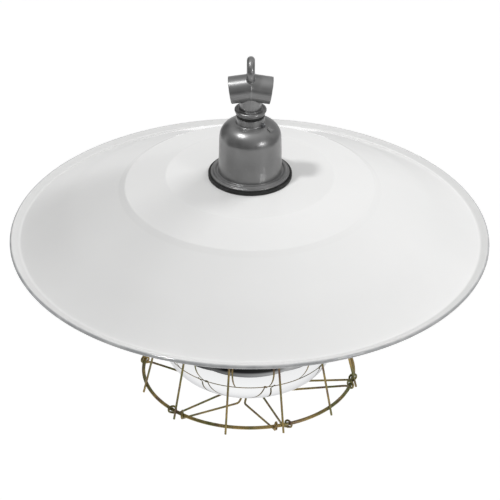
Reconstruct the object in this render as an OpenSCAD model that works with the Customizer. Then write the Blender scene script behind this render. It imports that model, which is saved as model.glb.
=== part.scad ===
// Pendant heat lamp fixture: a wide enamelled shade under a cast bell, a cast cable inlet head with
// a hanging eye, a conical wire guard whose six bottom loops swing down, and a mirror bowl lamp.
//
// Heights are counted from the plane of the shade's rim, +Z up. level() then lowers everything so
// that the centre of the hanging eye is the origin. The cable inlets point along +X and -X.

/* [Shade] */
// Diameter over the rolled rim
shade_d = 500; // [420:1:600]
// Height of the seat for the bell above the rim
shade_h = 74.8; // [62:0.1:90]
// Thickness of the sheet, measured upright
shade_t = 1.3; // [0.8:0.1:2]
// Radius of the rolled rim's section
rim_bead_r = 2.2; // [1.8:0.1:4]
// Width of the lip that turns up to the rolled rim
rim_lip_w = 7; // [4:0.5:10]
// Rise of that lip
rim_lip_h = 2.6; // [1:0.1:4]
// Radius of the flat crown
crown_r = 93; // [80:1:105]
// Radius of the lower pressed ring
press_r = 132; // [120:1:150]
// Depth of the lower pressed ring below the seat
press_drop = 14.5; // [10:0.5:20]

/* [Bell housing] */
// Radius of the bell at its foot
bell_r = 32.9; // [31:0.1:36]
// Taper of the bell's side, on the radius
bell_taper = 1; // [0:0.1:2]
// Height of the bell from flange to neck top
bell_h = 66.6; // [64:0.1:82]
// Radius of the bell's flange
flange_r = 40.7; // [40:0.1:46]
// Radius of the neck
neck_r = 14.8; // [14.4:0.1:17]
// Length of the neck above the shoulder
neck_h = 7.6; // [6:0.1:12]
// Wall of the casting
bell_wall = 2.7; // [2:0.1:3]
// Thickness of the rubber gasket under the flange
gasket_t = 3.4; // [2:0.1:5]

/* [Inlet head] */
// Outside diameter of the cable inlet arms
arm_d = 28.4; // [25:0.1:34]
// Length of each arm along its axis
arm_len = 21.5; // [20:0.1:28]
// Droop of each arm
arm_droop = 9; // [0:1:15]
// Diameter of the cable inlets
inlet_d = 18.4; // [14:0.1:20]
// Depth of the thread in each inlet
inlet_depth = 12; // [8:0.5:14]
// Diameter of the stem
stem_d = 22.4; // [21:0.1:26]
// Diameter of the collar over its lip
collar_d = 33.2; // [32:0.1:38]
// Diameter of the threaded spigot in the bell's neck
spigot_d = 24.4; // [22:0.1:26]
// Height of the arms' axis above the collar's foot
arm_rise = 29.1; // [26:0.1:36]
// Thickness of the rubber neck seal
seal_t = 3.4; // [2:0.1:5]

/* [Hanging eye] */
// Diameter of the eye's hole
eye_bore_d = 11.6; // [8:0.1:12]
// Radius of the eye's round section
eye_section_r = 4.2; // [3:0.1:4.5]
// Height of the eye's centre above the arms' axis
eye_rise = 20.2; // [20:0.1:28]

/* [Guard] */
// Depth of the guard's ring below the shade's rim
guard_drop = 164.5; // [150:0.5:200]
// Diameter of the ring, on the wire's centre
guard_ring_d = 224.6; // [222:0.2:270]
// Diameter of the ring's wire
ring_wire_d = 3.8; // [3:0.1:5]
// Diameter of the upright and petal wires
wire_d = 2.3; // [2:0.1:3]
// Diameter of the guard's top ring, on the wire's centre
guard_top_d = 113.4; // [104:0.2:130]
// Length of the upright wires below the ring
wire_tail = 6.5; // [4:0.5:12]
// Azimuth of the first upright wire
wire_start = 18.4; // [0:0.1:29]

/* [Guard petals] */
// Distance of a petal's loop from the nearest upright wire, along the ring
loop_offset = 7; // [6:0.5:10]
// Radius of a petal's loop on the wire's centre
loop_r = 3.8; // [3.8:0.1:5]
// Depth of the petals' bends below the ring
petal_dip = 22; // [18:1:30]
// Distance of the long petals' bends from the lamp's axis
long_bend_r = 35; // [28:1:45]
// Distance of the short petals' bends from the lamp's axis
short_bend_r = 21; // [16:1:26]
// Distance of the petals' tips from the lamp's axis
petal_tip_r = 9; // [8:0.5:12]

/* [Lamp] */
// Diameter of the bulb
bulb_d = 185; // [150:1:188]
// Height of the bulb's widest circle above its lowest point
bulb_bowl_h = 58; // [50:1:70]
// Length of the lamp from its cap's contact to its lowest point
lamp_len = 281; // [270:1:290]
// Radius of the bulb's side
bulb_side_r = 40; // [30:1:48]
// Radius of the bulb's neck
bulb_neck_r = 18.6; // [15:0.1:19]
// Thickness of the glass
glass_t = 1.2; // [0.8:0.1:2]
// Diameter of the cap over its thread
cap_d = 39; // [36:0.1:40]
// Pitch of the cap's thread
cap_pitch = 6.35; // [5:0.05:7]
// Depth of the cap's thread
cap_thread = 1.8; // [1:0.1:2]

/* [Lampholder] */
// Outside diameter of the porcelain body
holder_d = 56; // [54:0.1:57]
// Length of the porcelain body
holder_h = 50; // [46:0.5:54]
// Diameter of the two long fixing screws
holder_screw_d = 3; // [2.5:0.1:3.4]

/* [Hidden] */
$fn = 96;
LOOPS = 6;
WIRES = 12;

eps = 0.01;
// Clearances: running fit of a turning shaft, fit of a fixed piece, gap beside moving faces
run_fit = 0.05;
seat_fit = 0.1;
play = 0.3;

// Shade
rim_r = shade_d/2 - rim_bead_r;
rim_bead_z = rim_bead_r - 1;
rim_tilt = atan(rim_lip_h/rim_lip_w);
rim_valley = [
  rim_r - rim_bead_r*sin(rim_tilt) - rim_lip_w, rim_bead_z + rim_bead_r*cos(rim_tilt) - rim_lip_h
];
shade_slope = (shade_h - press_drop - rim_valley.y)/(rim_valley.x - press_r);
crown_drop = 1.5;
crown_step = 4;
press_step = 3;
shade_hole_r = bell_r - 2;

// Stack of heights above the rim
flange_z = shade_h + gasket_t;
neck_top_z = flange_z + bell_h;
shoulder_top_z = neck_top_z - neck_h;
collar_z = neck_top_z + seal_t;
arm_z = collar_z + arm_rise;
eye_z = arm_z + eye_rise;

// Bell
bell_top_r = bell_r - bell_taper;
shoulder_r = bell_top_r - neck_r;
shoulder_z = shoulder_top_z - shoulder_r;
flange_t = 2.1;
ridge_r = flange_r - 4.1;
ridge_h = 1.7;
flange_screw_r = ridge_r;
flange_screw_d = 3;
flange_screw_count = 4;
neck_bore_r = spigot_d/2 + run_fit;
nut_seat_z = shoulder_top_z - 4.7;
lug_az = -35;
lug_r = 3;
lug_reach = neck_r + 4.5;
lug_z = shoulder_top_z + 1.2;
grub_d = 4;
grub_reach = 5;
earth_screw_d = 3;
earth_reach = 7.5;
// Distance of the earth screw from the locknut, and depth of its head below the nut's seat
earth_gap = 3.6;
earth_drop = 5.5;

// Inlet head
nut_t = 5;
nut_r = spigot_d/2 + 5;
spigot_z = nut_seat_z - nut_t - play;
cable_way_r = spigot_d/2 - 4;
seam_w = 0.8;
seam_h = 0.35;
lip_r = 1.7;
lip_h = 3.6;
dish_h = 2.8;
eye_ring_r = eye_bore_d/2 + eye_section_r - 0.25;

// Gaskets, gallery and guard top
lower_gasket_t = 2;
lower_gasket_z = shade_h - shade_t - lower_gasket_t;
gallery_t = 1.5;
gallery_z = lower_gasket_z - gallery_t;
top_ring_z = gallery_z - 7.5;
ring_r = guard_ring_d/2;
ring_wire_r = ring_wire_d/2;
wire_r = wire_d/2;
weld_fit = 0.03;
top_ring_r = guard_top_d/2;
guard_flare = (ring_r - top_ring_r)/(guard_drop + top_ring_z);
wire_out = (ring_wire_r + wire_r + weld_fit)/cos(atan(guard_flare));
wire_head = 3;
lip_top_z = top_ring_z - ring_wire_r;
gallery_skirt_r = top_ring_r - ring_wire_r - 6.5;
gallery_lip_r = top_ring_r + ring_wire_r - 0.8;
cleat_count = 3;
cleat_w = 9;
cleat_t = 1.6;
cleat_az = wire_start + 15;
cleat_screw_r = (gallery_skirt_r + top_ring_r - ring_wire_r)/2;
cleat_screw_d = 3;

// Petals
loop_az = 180/LOOPS - asin(loop_offset/ring_r);
hinge_r = ring_r*cos(loop_az);
hinge_half = ring_r*sin(loop_az);
bend_half_w = 3.2;
tip_half_w = 1.5;
wire_sides = 10;

// Lamp, from its contact down
holder_top_z = shoulder_z - 5.5;
holder_roof = 8;
contact_z = holder_top_z - holder_roof - 3;
bulb_low_z = contact_z - lamp_len;
bulb_mid_z = bulb_low_z + bulb_bowl_h;
bulb_r = bulb_d/2;
side_x = bulb_r - bulb_side_r;
bowl_r = (pow(side_x, 2) + pow(bulb_bowl_h, 2) - pow(bulb_side_r, 2))/(2*(bulb_bowl_h - bulb_side_r));
bowl_z = bulb_low_z + bowl_r;
bowl_join = atan2(bowl_z - bulb_mid_z, side_x);
side_end = 35;
mirror_end = 20;
cap_turns = 6;
cap_r = cap_d/2;
insulator_h = 4;
contact_h = 1;
thread_top_z = contact_z - insulator_h;
thread_low_z = thread_top_z - cap_turns*cap_pitch;
skirt_h = 9;
cap_t = 0.6;
thread_gap = 0.45;
shell_t = 0.8;
shell_r = cap_r + thread_gap + shell_t;
holder_screw_x = (holder_d/2 + shell_r + seat_fit)/2;
holder_low_z = holder_top_z - holder_h;
holder_recess = 3;
holder_screw_head_d = 5.8;
boss_z = holder_top_z + 2;
boss_r = 3.8;
boss_bite = 2.5;
bell_inner_arc = shoulder_r - bell_wall;
boss_top_z = shoulder_z + boss_bite
  + sqrt(max(0, pow(bell_inner_arc, 2) - pow(holder_screw_x + boss_r - neck_r, 2)));
boss_thread = 6;
strap_t = boss_z - holder_top_z;
strap_w = 12;
terminal_y = 13;
terminal_w = 8;
terminal_h = 6.5;
terminal_screw_d = 3;
post_r = 1.8;
stem_r = 6;
filament_z = bulb_mid_z + 40;
filament_ring_r = 22;
filament_r = 1.1;
support_r = 0.5;

// Colours
grey_paint = [0.47, 0.47, 0.47];
enamel = [0.94, 0.94, 0.93];
black_rubber = [0.08, 0.08, 0.08];
zinc_yellow = [0.62, 0.53, 0.33];
zinc = [0.72, 0.73, 0.74];
brass = [0.80, 0.65, 0.33];
porcelain = [0.92, 0.90, 0.85];
mirror = [0.86, 0.87, 0.88];

// Lowers a piece so that the hanging eye's centre is the origin
module level() { translate([0, 0, -eye_z]) children(); }

// A round bar from one point to another
module rod(from, to, r) {
  run = to - from;
  translate(from)
    rotate([0, acos(run.z/norm(run)), atan2(run.y, run.x)])
      cylinder(h = norm(run), r = r, $fn = 24);
}

// Direction from one point of a path to the next
function heading(path, i) = (path[i + 1] - path[i])/norm(path[i + 1] - path[i]);

// A path's rings of points, each the last one slid along the wire to the next bend's mitre plane
function mitred_rings(path, i, last) = i == len(path) ? [] :
  let (
    along = heading(path, i - 1),
    turned = i < len(path) - 1 ? along + heading(path, i) : along,
    ring = [for (p = last) p + along*(((path[i] - p)*turned)/(along*turned))]
  )
  concat([ring], mitred_rings(path, i + 1, ring));

// A bent wire of many flat sides through a list of points
module bent_wire(path, r) {
  start = heading(path, 0);
  side = cross(start, [0, 0, 1])/norm(cross(start, [0, 0, 1]));
  first = [for (k = [0:wire_sides - 1])
    path[0] + r*(side*cos(360*k/wire_sides) + cross(start, side)*sin(360*k/wire_sides))];
  rings = concat([first], mitred_rings(path, 1, first));
  polyhedron(
    points = [for (ring = rings) each ring],
    faces = concat(
      [[for (k = [0:wire_sides - 1]) k], [for (k = [wire_sides - 1:-1:0]) (len(path) - 1)*wire_sides + k]],
      [for (i = [0:len(path) - 2], k = [0:wire_sides - 1])
        let (next = (k + 1) % wire_sides, at = i*wire_sides)
        [at + wire_sides + k, at + wire_sides + next, at + next, at + k]]
    )
  );
}

// A ring of round wire, flat about the Z axis
module wire_ring(ring, r) { rotate_extrude($fn = 96) translate([ring, 0]) circle(r = r, $fn = 24); }

// Copies turned evenly about the Z axis
module around(count, start = 0) { for (i = [0:count - 1]) rotate(start + i*360/count) children(); }

// A pan head screw pointing up from its head's underside
module pan_screw(d, reach, head_d, head_h) {
  translate([0, 0, -head_h/4]) cylinder(h = reach + head_h/4, d = d, $fn = 32);
  difference() {
    translate([0, 0, -head_h]) cylinder(h = head_h, d = head_d, $fn = 32);
    translate([-head_d, -d/8, -head_h - 1]) cube([2*head_d, d/4, head_h/2 + 1]);
  }
}

function arc(centre, r, from, to, steps) =
  [for (i = [0:steps]) centre + r*[cos(from + (to - from)*i/steps), sin(from + (to - from)*i/steps)]];

// ---- Inlet head ----

module head_arm() { rotate([0, 90 + arm_droop, 0]) cylinder(h = arm_len, d = arm_d); }

module arm_bore() {
  rotate([0, 90 + arm_droop, 0]) translate([0, 0, arm_len - inlet_depth])
    cylinder(h = inlet_depth + 1, d = inlet_d);
  rotate([0, 90 + arm_droop, 0]) cylinder(h = arm_len, r = inlet_d/2 - 1);
}

// The collar flares up to a round lip and is dished between the lip and the stem
module collar_section() {
  polygon([
    [0, 0], [collar_d/2 - 1.3, 0], [collar_d/2 - 0.9, lip_h/2], [collar_d/2 - 0.1, lip_h],
    [collar_d/2 - 2*lip_r, lip_h], [collar_d/2 - 2*lip_r - 0.8, dish_h], [0, dish_h]
  ]);
  translate([collar_d/2 - lip_r, lip_h]) circle(r = lip_r, $fn = 32);
}

module inlet_head() {
  color(grey_paint) level() difference() {
    union() {
      translate([0, 0, arm_z]) {
        head_arm();
        mirror([1, 0, 0]) head_arm();
        sphere(d = arm_d + 0.3);
      }
      translate([0, 0, collar_z + 1]) cylinder(h = arm_rise, d = stem_d);
      // Casting seam at the front and back of the head
      translate([0, 0, arm_z]) rotate([0, 90, 0])
        cylinder(h = seam_w, r = arm_d/2 + seam_h + 0.15, center = true);
      translate([-seam_w/2, -stem_d/2 - seam_h, collar_z + 2])
        cube([seam_w, stem_d + 2*seam_h, arm_rise - 4]);
      translate([0, 0, collar_z]) rotate_extrude() collar_section();
      translate([0, 0, spigot_z]) cylinder(h = collar_z - spigot_z + 1, d = spigot_d);
      translate([0, 0, eye_z]) rotate([0, 90, 0]) wire_ring(eye_ring_r, eye_section_r);
    }
    translate([0, 0, arm_z]) {
      arm_bore();
      mirror([1, 0, 0]) arm_bore();
      sphere(r = inlet_d/2 - 0.6);
    }
    translate([0, 0, spigot_z - 1]) cylinder(h = arm_z - spigot_z, r = cable_way_r);
    translate([-eye_section_r, 0, eye_z]) rotate([0, 90, 0])
      cylinder(h = 2*eye_section_r, d = eye_bore_d);
  }
}

module head_locknut() {
  color(zinc) level() translate([0, 0, nut_seat_z - nut_t - play/2]) difference() {
    cylinder(h = nut_t, r = nut_r, $fn = 6);
    translate([0, 0, -1]) cylinder(h = nut_t + 2, d = spigot_d + 2*run_fit);
  }
}

module neck_seal() {
  color(black_rubber) level() translate([0, 0, neck_top_z + play/2]) difference() {
    cylinder(h = seal_t - play/2, r = neck_r - 0.5);
    translate([0, 0, -1]) cylinder(h = seal_t + 2, d = spigot_d + 2*seat_fit);
  }
}

// ---- Bell housing ----

module bell_outer_section() {
  polygon([
    [0, flange_z], [flange_r - 0.4, flange_z], [flange_r, flange_z + 0.4],
    [flange_r, flange_z + flange_t - 0.8], [flange_r - 0.8, flange_z + flange_t],
    [bell_r + 1, flange_z + flange_t], [bell_r, flange_z + flange_t + 1.5],
    [bell_top_r, shoulder_z], [0, shoulder_z]
  ]);
  translate([ridge_r, flange_z + flange_t]) circle(r = ridge_h, $fn = 32);
  translate([ridge_r - 2.4, flange_z]) square([4.2, flange_t + 0.6]);
  intersection() {
    translate([neck_r, shoulder_z]) circle(r = shoulder_r);
    translate([0, shoulder_z - eps]) square([bell_r, shoulder_r + 1]);
  }
  translate([0, shoulder_z - eps]) square([neck_r, shoulder_r + eps]);
  polygon([
    [0, shoulder_z], [neck_r, shoulder_z], [neck_r, neck_top_z - 0.5],
    [neck_r - 0.5, neck_top_z], [0, neck_top_z]
  ]);
}

module bell_inner_section() {
  polygon([
    [0, flange_z - 1], [bell_r - bell_wall, flange_z - 1], [bell_r - bell_wall, flange_z],
    [bell_top_r - bell_wall, shoulder_z], [0, shoulder_z]
  ]);
  intersection() {
    union() {
      translate([neck_r, shoulder_z]) circle(r = bell_inner_arc);
      translate([0, shoulder_z - eps]) square([neck_r, bell_inner_arc]);
    }
    translate([0, shoulder_z - eps]) square([bell_r, nut_seat_z - shoulder_z + eps]);
  }
}

module grub_axis() { rotate(lug_az) translate([0, 0, lug_z]) rotate([0, 90, 0]) children(); }

module bell_housing() {
  color(grey_paint) level() difference() {
    union() {
      difference() {
        union() {
          rotate_extrude() bell_outer_section();
          grub_axis() cylinder(h = lug_reach, r = lug_r, $fn = 32);
        }
        rotate_extrude() bell_inner_section();
      }
      for (side = [-1, 1]) translate([side*holder_screw_x, 0, boss_z])
        cylinder(h = boss_top_z - boss_z, r = boss_r, $fn = 32);
    }
    translate([0, 0, nut_seat_z - 1]) cylinder(h = neck_top_z - nut_seat_z + 2, r = neck_bore_r);
    grub_axis() cylinder(h = lug_reach + 1, d = grub_d + 2*seat_fit, $fn = 32);
    around(flange_screw_count, 45) translate([flange_screw_r, 0, flange_z - 1])
      cylinder(h = flange_t + 1, d = flange_screw_d + 2*seat_fit, $fn = 32);
    for (side = [-1, 1]) translate([side*holder_screw_x, 0, boss_z - 1])
      cylinder(h = boss_thread + 1, d = holder_screw_d + 2*seat_fit, $fn = 32);
    earth_axis() cylinder(h = earth_reach + 0.5, d = earth_screw_d + 2*seat_fit, $fn = 32);
  }
}

module head_grub_screw() {
  color(zinc) level() grub_axis() translate([0, 0, neck_bore_r + 0.2]) difference() {
    cylinder(h = grub_reach, d = grub_d, $fn = 32);
    translate([0, 0, grub_reach - 1.8]) cylinder(h = 2, d = grub_d/2, $fn = 6);
  }
}

// The earth screw stands in the shoulder's underside, beside the locknut
module earth_axis() { translate([0, -nut_r - earth_gap, nut_seat_z - earth_drop]) children(); }

module earth_screw() {
  color(brass) level() earth_axis() pan_screw(earth_screw_d, earth_reach, 6, 2.2);
}

module flange_gasket() {
  color(black_rubber) level() difference() {
    translate([0, 0, shade_h]) cylinder(h = gasket_t, r = flange_r + 2.5);
    translate([0, 0, shade_h - 1]) cylinder(h = gasket_t + 2, r = shade_hole_r);
    flange_screw_holes(shade_h - 1, gasket_t + 2);
  }
}

module flange_screw_holes(z, h) {
  around(flange_screw_count, 45) translate([flange_screw_r, 0, z])
    cylinder(h = h, d = flange_screw_d + 2*seat_fit, $fn = 32);
}

// ---- Shade ----

// The upper line of the sheet, from the hole out to the rim
function shade_line() = [
  [shade_hole_r, shade_h], [flange_r + 6, shade_h], [crown_r - crown_step, shade_h - 0.6],
  [crown_r, shade_h - crown_drop], [crown_r + crown_step, shade_h - 2*crown_drop],
  [press_r - press_step, shade_h - press_drop + 2.6], [press_r, shade_h - press_drop + 0.6],
  [press_r + press_step, shade_h - press_drop - press_step*shade_slope],
  rim_valley
];

module shade() {
  top = shade_line();
  last = len(top) - 1;
  color(enamel) level() difference() {
    rotate_extrude($fn = 180) polygon(concat(
      top, arc([rim_r, rim_bead_z], rim_bead_r, 90 + rim_tilt, -185, 24),
      [for (i = [last:-1:0]) top[i] - [0, shade_t]]
    ));
    flange_screw_holes(shade_h - shade_t - 1, shade_t + 2);
  }
}

module lower_gasket() {
  color(black_rubber) level() difference() {
    translate([0, 0, lower_gasket_z]) cylinder(h = lower_gasket_t, r = flange_r + 2.5);
    translate([0, 0, lower_gasket_z - 1]) cylinder(h = lower_gasket_t + 2, r = shade_hole_r);
    flange_screw_holes(lower_gasket_z - 1, lower_gasket_t + 2);
  }
}

// A pressed ring under the shade whose lip carries the guard
module guard_gallery() {
  inner_r = shade_hole_r + 1;
  outer_r = gallery_skirt_r;
  color(zinc) level() difference() {
    rotate_extrude() polygon([
      [inner_r, gallery_z], [inner_r, gallery_z + gallery_t], [outer_r, gallery_z + gallery_t],
      [outer_r, lip_top_z], [gallery_lip_r, lip_top_z], [gallery_lip_r, lip_top_z - gallery_t],
      [outer_r - gallery_t, lip_top_z - gallery_t], [outer_r - gallery_t, gallery_z]
    ]);
    flange_screw_holes(gallery_z - 1, gallery_t + 2);
    around(cleat_count, cleat_az) translate([cleat_screw_r, 0, lip_top_z - gallery_t - 1])
      cylinder(h = gallery_t + 2, d = cleat_screw_d + 2*seat_fit, $fn = 32);
  }
}

module flange_screws() {
  reach = flange_z + flange_t - 0.3 - gallery_z;
  color(zinc) level() around(flange_screw_count, 45) translate([flange_screw_r, 0, gallery_z])
    pan_screw(flange_screw_d, reach, 6, 2.2);
}

// Cleats that hold the guard's top ring down on the gallery's lip
module guard_cleats() {
  foot_r = gallery_skirt_r + play;
  foot_end = top_ring_r - ring_wire_r - play;
  roof_z = top_ring_z + ring_wire_r + 0.1;
  color(zinc) level() around(cleat_count, cleat_az) difference() {
    union() {
      translate([foot_r, -cleat_w/2, lip_top_z])
        cube([foot_end - foot_r, cleat_w, roof_z - lip_top_z + 1]);
      translate([foot_r, -cleat_w/2, roof_z])
        cube([top_ring_r + ring_wire_r - foot_r, cleat_w, cleat_t]);
    }
    translate([cleat_screw_r, 0, lip_top_z - 1])
      cylinder(h = roof_z + cleat_t - lip_top_z + 2, d = cleat_screw_d + 2*seat_fit, $fn = 32);
  }
}

module cleat_screws() {
  color(zinc) level() around(cleat_count, cleat_az)
    translate([cleat_screw_r, 0, lip_top_z - gallery_t])
      pan_screw(cleat_screw_d, 6.5, 5.6, 2);
}

// ---- Lampholder ----

module holder_screw_holes(z, h) {
  for (side = [-1, 1]) translate([side*holder_screw_x, 0, z])
    cylinder(h = h, d = holder_screw_d + 2*seat_fit, $fn = 32);
}

module post_holes(z, h) {
  for (side = [-1, 1]) translate([0, side*terminal_y, z])
    cylinder(h = h, r = post_r + seat_fit, $fn = 32);
}

module lampholder_body() {
  color(porcelain) level() difference() {
    translate([0, 0, holder_low_z]) rotate_extrude() polygon([
      [shell_r + seat_fit, 0], [shell_r + seat_fit, holder_h - holder_roof], [0, holder_h - holder_roof],
      [0, holder_h], [holder_d/2 - 3, holder_h], [holder_d/2, holder_h - 3], [holder_d/2, 1.5],
      [holder_d/2 - 1.5, 0]
    ]);
    holder_screw_holes(holder_low_z - 1, holder_h + 2);
    for (side = [-1, 1]) translate([side*holder_screw_x, 0, holder_low_z - 1])
      cylinder(h = holder_recess + 1, d = holder_screw_head_d + 0.6, $fn = 32);
    post_holes(holder_top_z - holder_roof - 1, holder_roof + 2);
  }
}

// The wavy line of the round thread, at the mean radius of the cap plus a growth
function thread_line(low, high, grow) =
  let (steps = 10*cap_turns)
  [for (i = [0:steps]) let (z = low + (high - low)*i/steps)
    [cap_r - cap_thread/2*(1 - cos(360*(z - thread_low_z)/cap_pitch)) + grow, z]];

module thread_tube(low, high, grow, t) {
  inner = thread_line(low, high, grow);
  outer = thread_line(low, high, grow + t);
  rotate_extrude() polygon(concat(inner, [for (i = [len(outer) - 1:-1:0]) outer[i]]));
}

module lampholder_shell() {
  shell_top = holder_top_z - holder_roof;
  color(brass) level() {
    thread_tube(thread_low_z, thread_top_z, thread_gap, shell_t);
    difference() {
      translate([0, 0, thread_top_z - eps]) cylinder(h = shell_top - thread_top_z, r = shell_r);
      translate([0, 0, thread_top_z - 1])
        cylinder(h = shell_top - thread_top_z + 2, r = cap_r + thread_gap);
    }
    difference() {
      translate([0, 0, shell_top - 1]) cylinder(h = 1 - eps, r = shell_r - eps);
      translate([-shell_r, -terminal_y + post_r + 2, shell_top - 2]) cube([2*shell_r, 2*shell_r, 3]);
    }
    translate([0, -terminal_y, shell_top - 1]) cylinder(h = holder_roof + 1, r = post_r, $fn = 32);
  }
}

module centre_contact() {
  leaf_z = holder_top_z - holder_roof - 1;
  color(brass) level() {
    translate([-3.5, -4, leaf_z]) cube([7, terminal_y + 7, 0.9]);
    translate([0, 0, contact_z + play]) cylinder(h = leaf_z - contact_z - play + 0.5, r = 4, $fn = 32);
    translate([0, terminal_y, leaf_z + 0.5]) cylinder(h = holder_roof + 0.5, r = post_r, $fn = 32);
  }
}

module holder_strap() {
  half = holder_screw_x + 2.6;
  color(zinc) level() difference() {
    translate([-half, -strap_w/2, holder_top_z]) cube([2*half, strap_w, strap_t]);
    holder_screw_holes(holder_top_z - 1, strap_t + 2);
  }
}

module holder_screws() {
  reach = boss_z + boss_thread - 0.5 - holder_low_z - holder_recess;
  color(zinc) level() for (side = [-1, 1]) translate([side*holder_screw_x, 0, holder_low_z + holder_recess])
    pan_screw(holder_screw_d, reach, holder_screw_head_d, 2);
}

module terminal(side) {
  color(brass) level() difference() {
    translate([-terminal_w/2, side*terminal_y - terminal_w/2, holder_top_z])
      cube([terminal_w, terminal_w, terminal_h]);
    translate([-terminal_w, side*terminal_y, holder_top_z + 2.4]) rotate([0, 90, 0])
      cylinder(h = 2*terminal_w, r = 1.6, $fn = 32);
    translate([0, side*terminal_y, holder_top_z + 3])
      cylinder(h = terminal_h, r = terminal_screw_d/2 + seat_fit, $fn = 32);
  }
}

module terminal_live() { terminal(1); }
module terminal_neutral() { terminal(-1); }

module terminal_screws() {
  color(zinc) level() for (side = [-1, 1])
    translate([0, side*terminal_y, holder_top_z + terminal_h]) mirror([0, 0, 1])
      pan_screw(terminal_screw_d, 2.2, 5.4, 1.4);
}

// ---- Guard ----

module guard_top_ring() {
  color(zinc_yellow) level() translate([0, 0, top_ring_z]) wire_ring(top_ring_r, ring_wire_r);
}

module guard_ring() {
  color(zinc_yellow) level() translate([0, 0, -guard_drop]) wire_ring(ring_r, ring_wire_r);
}

// Centre of an upright wire at a height, before it is turned to its azimuth
function wire_point(z) = [top_ring_r + wire_out + guard_flare*(top_ring_z - z), 0, z];

module guard_wire(i) {
  color(zinc_yellow) level() rotate(wire_start + (i - 1)*360/WIRES)
    rod(wire_point(top_ring_z + wire_head), wire_point(-guard_drop - wire_tail), wire_r);
}

module guard_wire_01() { guard_wire(1); }
module guard_wire_02() { guard_wire(2); }
module guard_wire_03() { guard_wire(3); }
module guard_wire_04() { guard_wire(4); }
module guard_wire_05() { guard_wire(5); }
module guard_wire_06() { guard_wire(6); }
module guard_wire_07() { guard_wire(7); }
module guard_wire_08() { guard_wire(8); }
module guard_wire_09() { guard_wire(9); }
module guard_wire_10() { guard_wire(10); }
module guard_wire_11() { guard_wire(11); }
module guard_wire_12() { guard_wire(12); }

// One side of a petal, from the tip out to its loop on the ring.
// The short petals run beside the ring for a little before they turn in.
function petal_side(side, bend_r, runs_on) = concat(
  [[petal_tip_r, side*tip_half_w, -petal_dip], [bend_r, side*bend_half_w, -petal_dip]],
  runs_on ? [[hinge_r - loop_r - 2.4, side*(hinge_half + 1.8), -1.5]] : [],
  [[hinge_r - loop_r, side*hinge_half, 0]]
);

// The whole petal, from one loop in to the hairpin at the tip and out to the other loop
function petal_path(bend_r, runs_on) =
  let (left = petal_side(-1, bend_r, runs_on))
  concat([for (i = [len(left) - 1:-1:0]) left[i]], petal_side(1, bend_r, runs_on));

module guard_petal(i) {
  short = i % 2 == 0;
  bend_r = short ? short_bend_r : long_bend_r;
  color(zinc_yellow) level() translate([0, 0, -guard_drop]) rotate(wire_start + (i - 1)*360/LOOPS)
    union() {
      for (side = [-1, 1])
        translate([hinge_r, side*hinge_half, 0]) rotate([90, 0, 0]) wire_ring(loop_r, wire_r);
      bent_wire(petal_path(bend_r, short), wire_r);
    }
}

module guard_petal_1() { guard_petal(1); }
module guard_petal_2() { guard_petal(2); }
module guard_petal_3() { guard_petal(3); }
module guard_petal_4() { guard_petal(4); }
module guard_petal_5() { guard_petal(5); }
module guard_petal_6() { guard_petal(6); }

// ---- Lamp ----

// The bulb's outline from its lowest point up to its neck, set in by a distance
function bulb_line(inset, last = 1) =
  let (
    side_r = bulb_side_r - inset,
    side_top = [side_x, bulb_mid_z] + side_r*[cos(side_end), sin(side_end)],
    neck = bulb_neck_r - inset,
    cone_z = side_top.y + (side_top.x - neck)/tan(side_end)
  )
  concat(
    arc([0, bowl_z], bowl_r - inset, -90, -bowl_join, 14),
    arc([side_x, bulb_mid_z], side_r, -bowl_join + 6, last ? side_end : mirror_end, 14),
    last ? [[neck + 7, cone_z - 7/tan(side_end)], [neck + 2, cone_z + 2], [neck, cone_z + 12],
            [neck, thread_low_z - 2]] : []
  );

module bulb_glass() {
  outer = bulb_line(0);
  inner = bulb_line(glass_t);
  color([0.86, 0.9, 0.92, 0.35]) level()
    rotate_extrude($fn = 180) polygon(concat(outer, [for (i = [len(inner) - 1:-1:0]) inner[i]]));
}

module bulb_mirror() {
  outer = bulb_line(glass_t + 0.1, 0);
  inner = bulb_line(glass_t + 0.5, 0);
  color(mirror) level()
    rotate_extrude($fn = 180) polygon(concat(outer, [for (i = [len(inner) - 1:-1:0]) inner[i]]));
}

module bulb_cap() {
  skirt_r = cap_r - cap_thread - 0.1;
  color(zinc) level() {
    thread_tube(thread_low_z, thread_top_z, -cap_t, cap_t);
    difference() {
      translate([0, 0, thread_low_z - skirt_h]) cylinder(h = skirt_h + eps, r = cap_r);
      translate([0, 0, thread_low_z - skirt_h - 1]) cylinder(h = skirt_h + 2, r = cap_r - cap_t);
    }
  }
}

module cap_insulator() {
  color(black_rubber) level() translate([0, 0, thread_top_z])
    cylinder(h = insulator_h - contact_h, r1 = cap_r - 0.3, r2 = 9);
}

module cap_contact() {
  color(zinc) level() translate([0, 0, thread_top_z + insulator_h - contact_h])
    cylinder(h = contact_h, r1 = 7, r2 = 5);
}

module bulb_stem() {
  neck = bulb_neck_r - glass_t;
  color([0.86, 0.9, 0.92, 0.35]) level() rotate_extrude() polygon([
    [0, filament_z + 34], [stem_r, filament_z + 34], [stem_r, thread_low_z - 26],
    [neck - 0.1, thread_low_z - 3], [neck - 2, thread_low_z - 2], [0, thread_low_z - 2]
  ]);
}

module filament_supports() {
  color(zinc) level() for (i = [0:5]) rotate(30 + 60*i)
    rod([stem_r - 1, 0, filament_z + 38], [filament_ring_r, 0, filament_z + filament_r], support_r);
}

module bulb_filament() {
  color([0.35, 0.35, 0.36]) level() translate([0, 0, filament_z]) wire_ring(filament_ring_r, filament_r);
}

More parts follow.
